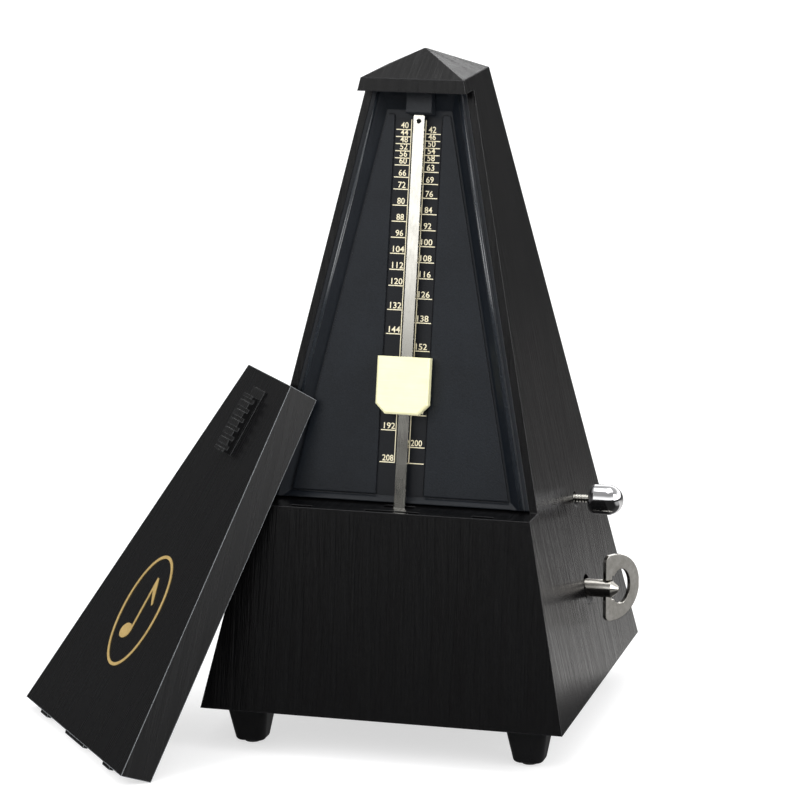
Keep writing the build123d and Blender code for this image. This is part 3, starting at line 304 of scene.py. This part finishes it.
finishes = {
    "case_plastic": grainedPlastic("casePlastic", caseLook),
    "cover_plastic": grainedPlastic("coverPlastic", coverFinish),
    "base_plastic": mouldedPlastic(
        "basePlastic",
        {"grit": 1800, "dark": (0.007, 0.007, 0.008), "light": (0.014, 0.014, 0.015), "rough": 0.6,
         "specular": 0.35, "depth": 0.06, "edge": 0.4},
    ),
    "face_plastic": mouldedPlastic(
        "facePlastic",
        {"grit": 2100, "dark": (0.0040, 0.0056, 0.0084), "light": (0.0092, 0.0122, 0.0172), "rough": 0.36,
         "specular": 0.34, "depth": 0.06, "edge": 0.5},
    ),
    "scale_print": mouldedPlastic(
        "scalePrint",
        {"grit": 2500, "dark": (0.0042, 0.005, 0.0072), "light": (0.0078, 0.0092, 0.0125), "rough": 0.36,
         "specular": 0.32, "depth": 0.03, "edge": 0.08},
    ),
    "clip_plastic": mouldedPlastic(
        "clipPlastic",
        {"grit": 1900, "dark": (0.006, 0.008, 0.0115), "light": (0.013, 0.0165, 0.022), "rough": 0.5,
         "specular": 0.5, "depth": 0.06, "edge": 0.4},
    ),
    "foot_plastic": mouldedPlastic(
        "footPlastic",
        {"grit": 900, "dark": (0.004, 0.004, 0.0045), "light": (0.008, 0.008, 0.0085), "rough": 0.3,
         "specular": 0.5, "depth": 0.03, "edge": 0.6},
    ),
    "pad_rubber": mouldedPlastic(
        "padRubber",
        {"grit": 1500, "dark": (0.012, 0.012, 0.012), "light": (0.025, 0.025, 0.024), "rough": 0.8,
         "specular": 0.3, "depth": 0.08, "edge": 0.2},
    ),
    # the latch's ridges and edges carry a painted highlight in a lighter colour
    "latch_plastic": grainedPlastic(
        "latchPlastic", dict(coverFinish, edgeHighlight=(0.14, 0.145, 0.15), specular=0.5, edge=0.15)
    ),
    "cam_plastic": mouldedPlastic(
        "camPlastic",
        {"grit": 1500, "dark": (0.6, 0.57, 0.48), "light": (0.72, 0.69, 0.6), "rough": 0.45,
         "specular": 0.5, "depth": 0.03, "edge": 0.15},
    ),
    "badge_print": metalFinish(
        "badgeGold",
        {"brush": (1, 1, 1), "fine": 900, "dark": (0.44, 0.30, 0.10), "light": (0.60, 0.43, 0.17),
         "roughLow": 0.3, "roughHigh": 0.45, "depth": 0.01, "edge": 0.05, "metallic": 0.25},
    ),
    "frame_steel": metalFinish(
        "frameSteel",
        {"brush": (1, 1, 0.05), "fine": 1200, "dark": (0.42, 0.42, 0.41), "light": (0.62, 0.61, 0.59),
         "roughLow": 0.32, "roughHigh": 0.5, "depth": 0.02, "edge": 0.2},
    ),
    "arbor_steel": metalFinish(
        "arborSteel",
        {"brush": (1, 0.1, 0.1), "fine": 1800, "dark": (0.35, 0.35, 0.36), "light": (0.56, 0.56, 0.57),
         "roughLow": 0.22, "roughHigh": 0.38, "depth": 0.012, "edge": 0.12},
    ),
    "screw_steel": metalFinish(
        "screwSteel",
        {"brush": (1, 1, 1), "fine": 1500, "dark": (0.40, 0.39, 0.36), "light": (0.62, 0.61, 0.57),
         "roughLow": 0.28, "roughHigh": 0.45, "depth": 0.015, "edge": 0.12},
    ),
    "spring_steel": metalFinish(
        "springSteel",
        {"brush": (0.1, 1, 1), "fine": 1400, "dark": (0.08, 0.10, 0.16), "light": (0.16, 0.19, 0.27),
         "roughLow": 0.25, "roughHigh": 0.4, "depth": 0.01, "edge": 0.05},
    ),
    "movement_brass": metalFinish(
        "movementBrass",
        {"brush": (0.1, 1, 1), "fine": 1300, "dark": (0.50, 0.34, 0.12), "light": (0.72, 0.52, 0.24),
         "roughLow": 0.24, "roughHigh": 0.4, "depth": 0.015, "edge": 0.12},
    ),
    "weight_brass": metalFinish(
        "weightBrass",
        {"brush": (0.06, 1, 1), "fine": 1500, "dark": (0.95, 0.91, 0.54), "light": (1.0, 0.97, 0.63),
         "roughLow": 0.36, "roughHigh": 0.48, "depth": 0.006, "edge": 0.2, "metallic": 0.15},
    ),
    "bell_metal": metalFinish(
        "bellNickel",
        {"brush": (1, 1, 0.1), "fine": 1300, "dark": (0.60, 0.59, 0.56), "light": (0.76, 0.75, 0.72),
         "roughLow": 0.08, "roughHigh": 0.16, "depth": 0.004, "edge": 0.2},
    ),
    "rod_nickel": metalFinish(
        "rodNickel",
        {"brush": (1, 1, 0.08), "fine": 1500, "dark": (0.80, 0.78, 0.71), "light": (0.94, 0.92, 0.85),
         "roughLow": 0.09, "roughHigh": 0.14, "depth": 0.0006, "edge": 0.2},
    ),
    "key_nickel": metalFinish(
        "keyNickel",
        {"brush": (1, 1, 1), "fine": 420, "dark": (0.46, 0.44, 0.40), "light": (0.66, 0.64, 0.60),
         "roughLow": 0.12, "roughHigh": 0.22, "depth": 0.015, "edge": 0.3},
    ),
    "knob_chrome": metalFinish(
        "knobChrome",
        {"brush": (0.1, 1, 1), "fine": 700, "dark": (0.70, 0.70, 0.71), "light": (0.84, 0.84, 0.85),
         "roughLow": 0.04, "roughHigh": 0.08, "depth": 0.002, "edge": 0.2},
    ),
    "bob_iron": metalFinish(
        "bobIron",
        {"brush": (1, 1, 1), "fine": 600, "dark": (0.10, 0.10, 0.10), "light": (0.20, 0.20, 0.20),
         "roughLow": 0.5, "roughHigh": 0.7, "depth": 0.08, "edge": 0.3},
    ),
}
for nodeName, node in nodes.items():
    node.data.materials.clear()
    node.data.materials.append(finishes[slotOf[nodeName]])
print("finishes made and given to the solids")

# the printed scale, in millimetres on the face
scaleLook = {
    "leftColumn": (
        40, 44, 48, 52, 56, 60, 66, 72, 80, 88, 96, 104, 112, 120, 132, 144, 160, 176, 192, 208
    ),
    "rightColumn": (
        42, 46, 50, 54, 58, 63, 69, 76, 84, 92, 100, 108, 116, 126, 138, 152, 168, 184, 200, 208
    ),
    "heightAt60": 109.32,
    "fastStep": 0.6475,  # millimetres per beat above 60
    "slowStep": 0.572,  # and below 60
    "lineAt": 2.4,  # from the middle of the strip to each upright line
    "tickLength": 5.0,
    "tickWidth": 0.3,
    "lineWidth": 0.26,
    "inkHeight": 0.02,
    "inkLift": 0.004,  # keeps the ink clear of the strip's surface
    "fontSize": 3.0,  # before each numeral is brought to its own size
    "digitHeight": 2.0,
    "digitWidth": 1.25,
    "digitGap": 0.35,  # between an upright line and the widest numeral
    "digitLift": 0.42,  # above its tick
    "boldness": 0.03,
    "lineAbove": 3.2,  # how far the upright lines pass the top tick
}


def tempoHeight(tempo):
    step = scaleLook["fastStep"] if tempo > 60 else scaleLook["slowStep"]
    return scaleLook["heightAt60"] - step * (tempo - 60)


def goldInk():
    material, tree, shader = startMaterial("goldInk")
    grit = noise(tree, placedCoordinates(tree), 3000.0, 2.0)
    tone = ramp(tree, grit, 0.35, 0.65)
    gold = blendColours(tree, tone, (0.90, 0.80, 0.52), (1.0, 0.94, 0.72))
    tree.links.new(gold, shader.inputs["Base Color"])
    tree.links.new(ramp(tree, grit, 0.3, 0.7, 0.5, 0.38), shader.inputs["Roughness"])
    shader.inputs["Metallic"].default_value = 0.15
    addBump(tree, shader, grit, 0.01, 0.3)
    return material


inkMaterial = goldInk()
inkMiddle = case["scaleSurface"] + scaleLook["inkLift"] + scaleLook["inkHeight"] / 2


def evaluatedMesh(holder):
    # what a text or a live modifier comes to as a plain mesh
    bpy.context.view_layer.update()
    ready = holder.evaluated_get(bpy.context.evaluated_depsgraph_get())
    return bpy.data.meshes.new_from_object(ready)


def newPiece(name, mesh, body, material):
    piece = bpy.data.objects.new(name, mesh)
    bpy.context.scene.collection.objects.link(piece)
    mesh.materials.clear()
    mesh.materials.append(material)
    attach(piece, body)
    return piece


def numeralMesh(tempo, side):
    words = bpy.data.curves.new("numeral", "FONT")
    words.body = str(tempo)
    words.size = scaleLook["fontSize"] * mm
    words.extrude = scaleLook["inkHeight"] / 2 * mm
    words.resolution_u = 3
    words.offset = scaleLook["boldness"] * mm
    holder = bpy.data.objects.new("numeral", words)
    bpy.context.scene.collection.objects.link(holder)
    flat = evaluatedMesh(holder)
    bpy.data.objects.remove(holder)
    xs = [p.co.x for p in flat.vertices]
    ys = [p.co.y for p in flat.vertices]
    wide = len(words.body) * scaleLook["digitWidth"] * mm
    tall = scaleLook["digitHeight"] * mm
    middle = side * (scaleLook["lineAt"] + scaleLook["digitGap"] + 1.5 * scaleLook["digitWidth"])
    shift = Matrix.Translation((-(max(xs) + min(xs)) / 2, -min(ys), 0))
    grow = Matrix.Diagonal((wide / (max(xs) - min(xs)), tall / (max(ys) - min(ys)), 1, 1))
    height = tempoHeight(tempo) + scaleLook["digitLift"]
    place = Matrix.Translation((middle * mm, height * mm, inkMiddle * mm))
    flat.transform(faceMatrix @ place @ grow @ shift)
    return flat


def scaleNumerals():
    joined = bmesh.new()
    for side, column in ((-1, scaleLook["leftColumn"]), (1, scaleLook["rightColumn"][:-1])):
        for tempo in column:
            flat = numeralMesh(tempo, side)
            joined.from_mesh(flat)
            bpy.data.meshes.remove(flat)
    bmesh.ops.remove_doubles(joined, verts=joined.verts, dist=1e-7)
    mesh = bpy.data.meshes.new("scale_numerals")
    joined.to_mesh(mesh)
    joined.free()
    return newPiece("scale_numerals", mesh, "case", inkMaterial)


def inkTickTree():
    # a small printed bar at every point of a set of points
    tree = bpy.data.node_groups.new("inkTicks", "GeometryNodeTree")
    tree.interface.new_socket("Geometry", in_out="INPUT", socket_type="NodeSocketGeometry")
    length = tree.interface.new_socket("Tick length", in_out="INPUT", socket_type="NodeSocketFloat")
    width = tree.interface.new_socket("Tick width", in_out="INPUT", socket_type="NodeSocketFloat")
    ink = tree.interface.new_socket("Ink height", in_out="INPUT", socket_type="NodeSocketFloat")
    tree.interface.new_socket("Geometry", in_out="OUTPUT", socket_type="NodeSocketGeometry")
    add = tree.nodes.new
    source, sink = add("NodeGroupInput"), add("NodeGroupOutput")
    size, bar = add("ShaderNodeCombineXYZ"), add("GeometryNodeMeshCube")
    spread = add("GeometryNodeInstanceOnPoints")
    real, paint = add("GeometryNodeRealizeInstances"), add("GeometryNodeSetMaterial")
    paint.inputs["Material"].default_value = inkMaterial
    join = tree.links.new
    join(source.outputs["Tick length"], size.inputs[0])
    join(source.outputs["Tick width"], size.inputs[1])
    join(source.outputs["Ink height"], size.inputs[2])
    join(size.outputs[0], bar.inputs["Size"])
    join(source.outputs["Geometry"], spread.inputs["Points"])
    join(bar.outputs["Mesh"], spread.inputs["Instance"])
    join(spread.outputs["Instances"], real.inputs[0])
    join(real.outputs[0], paint.inputs["Geometry"])
    join(paint.outputs[0], sink.inputs[0])
    return tree, (length.identifier, width.identifier, ink.identifier)


def scaleTicks():
    tree, sockets = inkTickTree()
    points = []
    reach = scaleLook["lineAt"] + scaleLook["tickLength"] / 2
    for side, column in ((-1, scaleLook["leftColumn"]), (1, scaleLook["rightColumn"])):
        for tempo in column:
            points.append((side * reach * mm, tempoHeight(tempo) * mm, inkMiddle * mm))
    cloud = bpy.data.meshes.new("tickPoints")
    cloud.from_pydata(points, [], [])
    holder = bpy.data.objects.new("tickPoints", cloud)
    bpy.context.scene.collection.objects.link(holder)
    modifier = holder.modifiers.new("ticks", "NODES")
    modifier.node_group = tree
    for identifier, size in zip(sockets, ("tickLength", "tickWidth", "inkHeight")):
        modifier[identifier] = scaleLook[size] * mm
    mesh = evaluatedMesh(holder)
    holder.modifiers.clear()
    bpy.data.objects.remove(holder)
    joined = bmesh.new()
    joined.from_mesh(mesh)
    # the two upright lines beside the pendulum's rod
    low, high = tempoHeight(208), tempoHeight(40) + scaleLook["lineAbove"]
    wide, tall = scaleLook["lineWidth"], high - low + scaleLook["tickWidth"]
    size = Matrix.Diagonal((wide * mm, tall * mm, scaleLook["inkHeight"] * mm, 1))
    for side in (-1, 1):
        middle = Vector((side * scaleLook["lineAt"], (low + high) / 2, inkMiddle))
        bmesh.ops.create_cube(joined, size=1, matrix=Matrix.Translation(middle * mm) @ size)
    joined.transform(faceMatrix)
    mesh.name = "scale_ticks"
    joined.to_mesh(mesh)
    joined.free()
    return newPiece("scale_ticks", mesh, "case", inkMaterial)


scaleNumerals()
scaleTicks()
print("scale printed")

# rounded crests on the two rims of the face, in millimetres
rimLook = {
    "inset": 4.85,  # from the outer edge of the case
    "low": 0.8,
    "high": 133.2,
    "rise": 1.0,
    "halfWidth": 0.6,
    "height": 0.32,
    "steps": 8,
}


def crestMaterial():
    material, tree, shader = startMaterial("crestPlastic")
    grit = noise(tree, placedCoordinates(tree), 1600.0, 2.0)
    tone = ramp(tree, grit, 0.35, 0.65)
    slate = blendColours(tree, tone, (0.012, 0.015, 0.019), (0.022, 0.026, 0.032))
    tree.links.new(slate, shader.inputs["Base Color"])
    tree.links.new(ramp(tree, grit, 0.3, 0.7, 0.26, 0.18), shader.inputs["Roughness"])
    shader.inputs["Specular IOR Level"].default_value = 0.9
    addBump(tree, shader, grit, 0.02, 0.3)
    return material


def rimCrests():
    # a low half-round strip along each rim, following the case's sloping sides
    shape = bmesh.new()
    sideways = sin(leanAngle)
    foot = case["baseHalf"] - lean * case["ledge"] - rimLook["inset"]
    for side in (-1, 1):
        rings = []
        for v in (rimLook["low"], rimLook["high"]):
            ring = []
            for step in range(rimLook["steps"] + 1):
                angle = pi * step / rimLook["steps"]
                u = side * (foot - sideways * v) - rimLook["halfWidth"] * cos(angle)
                n = rimLook["rise"] + rimLook["height"] * sin(angle)
                ring.append(shape.verts.new(onFace(u, v, n)))
            rings.append(ring)
        lower, upper = rings
        for i in range(rimLook["steps"]):
            shape.faces.new((lower[i], lower[i + 1], upper[i + 1], upper[i]))
        shape.faces.new((lower[-1], lower[0], upper[0], upper[-1]))
        shape.faces.new(lower[::-1])
        shape.faces.new(upper)
    bmesh.ops.recalc_face_normals(shape, faces=shape.faces)
    mesh = bpy.data.meshes.new("rim_crests")
    shape.to_mesh(mesh)
    shape.free()
    mesh.polygons.foreach_set("use_smooth", [len(p.vertices) == 4 for p in mesh.polygons])
    return newPiece("rim_crests", mesh, "case", crestMaterial())


rimCrests()
print("rims rounded")

# floor, light and camera
floorLook = {
    "level": -14.0 * mm,
    "colour": (0.5, 0.5, 0.503),
    "glow": 0.62,
    "reach": 3.0,
    "front": -4.2,
    "back": 1.2,  # where the floor starts to curve up
    "curve": 0.8,
    "rise": 2.6,
    "steps": 12,
}


def paleFloor():
    shape = bmesh.new()
    reach, back, curve = floorLook["reach"], floorLook["back"], floorLook["curve"]
    profile = [(floorLook["front"], 0.0), (back, 0.0)]
    for step in range(1, floorLook["steps"] + 1):
        angle = pi / 2 * step / floorLook["steps"]
        profile.append((back + curve * sin(angle), curve * (1 - cos(angle))))
    profile.append((back + curve, floorLook["rise"]))
    rows = []
    for depth, height in profile:
        level = floorLook["level"] + height
        rows.append([shape.verts.new((x, depth, level)) for x in (-reach, reach)])
    for lower, upper in zip(rows, rows[1:]):
        shape.faces.new((lower[0], lower[1], upper[1], upper[0]))
    mesh = bpy.data.meshes.new("studioFloor")
    shape.to_mesh(mesh)
    shape.free()
    mesh.polygons.foreach_set("use_smooth", [True] * len(mesh.polygons))
    floor = bpy.data.objects.new("studioFloor", mesh)
    bpy.context.scene.collection.objects.link(floor)
    material, tree, shader = startMaterial("studioPaper")
    shader.inputs["Base Color"].default_value = (*floorLook["colour"], 1)
    shader.inputs["Roughness"].default_value = 0.9
    shader.inputs["Specular IOR Level"].default_value = 0.0
    shader.inputs["Emission Color"].default_value = (1.0, 1.0, 1.0, 1)
    shader.inputs["Emission Strength"].default_value = floorLook["glow"]
    mesh.materials.append(material)
    floor.visible_glossy = False


paleFloor()


# what the gloss sees: where each edge begins and ends, then the strength at its two ends
skyLook = {
    "evenLight": 1.0,
    "behind": (-0.3, 0.7),
    "ceiling": (0.185, 0.225),
    "ceilingStrength": (1.4, 1.9),  # in front and behind
    "zenith": (0.4, 0.7, 1.0, 0.25),
    "leftShade": (-0.75, -0.45, 0.06, 1.0),
    "roomStrength": (0.02, 0.1),
    "window": (0.7, 0.9, 0.0, 2.5),
    "windowSill": (0.11, 0.16),
    "windowHead": (0.35, 0.6, 1.0, 0.2),
    "floorRight": (0.8, 0.95, 0.0, 0.4),
    "floorEdge": (-0.1, -0.05, 1.0, 0.0),
}


def studioSky():
    # even white light all round; gloss sees a dim room, a bright ceiling and a window at the right
    world = bpy.data.worlds.new("studio")
    world.use_nodes = True
    tree = world.node_tree
    background = tree.nodes["Background"]
    background.inputs[0].default_value = (1.0, 1.0, 1.0, 1)
    direction = addNode(tree, "ShaderNodeTexCoord").outputs["Generated"]
    axes = addNode(tree, "ShaderNodeSeparateXYZ", {0: direction})
    across, depth, height = axes.outputs[0], axes.outputs[1], axes.outputs[2]

    def edge(value, low, high, toLow=0.0, toHigh=1.0):
        limits = {"From Min": low, "From Max": high, "To Min": toLow, "To Max": toHigh}
        kind = {"interpolation_type": "SMOOTHSTEP"}
        return addNode(tree, "ShaderNodeMapRange", {"Value": value, **limits}, **kind).outputs["Result"]

    def product(first, *others):
        for other in others:
            first = mathNode(tree, "MULTIPLY", first, other)
        return first

    behind = ramp(tree, depth, *skyLook["behind"])
    ceiling = product(
        edge(height, *skyLook["ceiling"]),
        edge(height, *skyLook["zenith"]),
        ramp(tree, behind, 0.0, 1.0, *skyLook["ceilingStrength"]),
        edge(across, *skyLook["leftShade"]),
    )
    window = product(
        edge(across, *skyLook["window"]),
        edge(height, *skyLook["windowSill"]),
        edge(height, *skyLook["windowHead"]),
    )
    floorside = product(edge(across, *skyLook["floorRight"]), edge(height, *skyLook["floorEdge"]))
    gloss = ramp(tree, behind, 0.0, 1.0, *skyLook["roomStrength"])
    for light in (ceiling, window, floorside):
        gloss = mathNode(tree, "ADD", gloss, light)
    isGloss = addNode(tree, "ShaderNodeLightPath").outputs["Is Glossy Ray"]
    strength = addNode(tree, "ShaderNodeMix", {0: isGloss, 2: skyLook["evenLight"], 3: gloss})
    tree.links.new(strength.outputs[0], background.inputs[1])
    bpy.context.scene.world = world


cardLook = {
    "left": -0.6,
    "right": 1.1,
    "front": 0.07,
    "back": 1.0,
    "lift": 0.2 * mm,
    "tint": (1.0, 0.985, 0.97),
    "fade": (0.08, 0.5, 0.85, 0.17),  # near and far depth, then the strength at each
}


def bounceCard():
    # a white card on the floor behind the case, seen in the gloss of its side wall
    mesh = bpy.data.meshes.new("bounceCard")
    level = floorLook["level"] + cardLook["lift"]
    corners = [("left", "front"), ("right", "front"), ("right", "back"), ("left", "back")]
    points = [(cardLook[side], cardLook[end], level) for side, end in corners]
    mesh.from_pydata(points, [], [(0, 1, 2, 3)])
    card = bpy.data.objects.new("bounceCard", mesh)
    bpy.context.scene.collection.objects.link(card)
    material, tree, shader = startMaterial("cardWhite")
    place = addNode(tree, "ShaderNodeTexCoord").outputs["Object"]
    depth = addNode(tree, "ShaderNodeSeparateXYZ", {0: place}).outputs[1]
    shader.inputs["Base Color"].default_value = (0.0, 0.0, 0.0, 1)
    shader.inputs["Specular IOR Level"].default_value = 0.0
    shader.inputs["Emission Color"].default_value = (*cardLook["tint"], 1)
    tree.links.new(ramp(tree, depth, *cardLook["fade"]), shader.inputs["Emission Strength"])
    mesh.materials.append(material)
    card.visible_camera = False
    card.visible_diffuse = False
    card.visible_shadow = False


studioSky()
bounceCard()

lamps = {
    "windowLeft": {"at": (-1.1, -1.3, 1.35), "size": (0.9, 1.1), "power": 12.0, "shine": 0.1},
    "windowRight": {"at": (1.5, -0.35, 0.9), "size": (0.5, 1.0), "power": 8.0, "shine": 0.4},
    "overhead": {"at": (0.1, 0.1, 1.9), "size": (1.4, 1.4), "power": 10.0, "shine": 0.1},
}
lampTarget = Vector((0, 0, 90)) * mm
for lampName, lamp in lamps.items():
    light = bpy.data.lights.new(lampName, "AREA")
    light.shape = "RECTANGLE"
    light.size, light.size_y = lamp["size"]
    light.energy = lamp["power"]
    light.specular_factor = lamp["shine"]
    holder = bpy.data.objects.new(lampName, light)
    holder.location = lamp["at"]
    aim = lampTarget - Vector(lamp["at"])
    holder.rotation_mode = "QUATERNION"
    holder.rotation_quaternion = aim.to_track_quat("-Z", "Y")
    bpy.context.scene.collection.objects.link(holder)

view = {
    "from": Vector((301.21, -1145.55, 363.94)) * mm,
    "towards": Vector((-8.26, -2.24, 92.37)) * mm,
    "roll": -0.194,
    "lens": 165.96,
}
lensData = bpy.data.cameras.new("mainCamera")
lensData.lens = view["lens"]
lensData.sensor_width = 36
lensData.clip_start, lensData.clip_end = 0.05, 20
camera = bpy.data.objects.new("mainCamera", lensData)
bpy.context.scene.collection.objects.link(camera)
camera.rotation_mode = "QUATERNION"
aim = (view["towards"] - view["from"]).to_track_quat("-Z", "Y")
camera.location = view["from"]
camera.rotation_quaternion = aim @ Matrix.Rotation(radians(view["roll"]), 3, "Z").to_quaternion()
bpy.context.scene.camera = camera
bpy.context.scene.view_settings.view_transform = "Standard"
print("stage set")

bpy.context.view_layer.update()
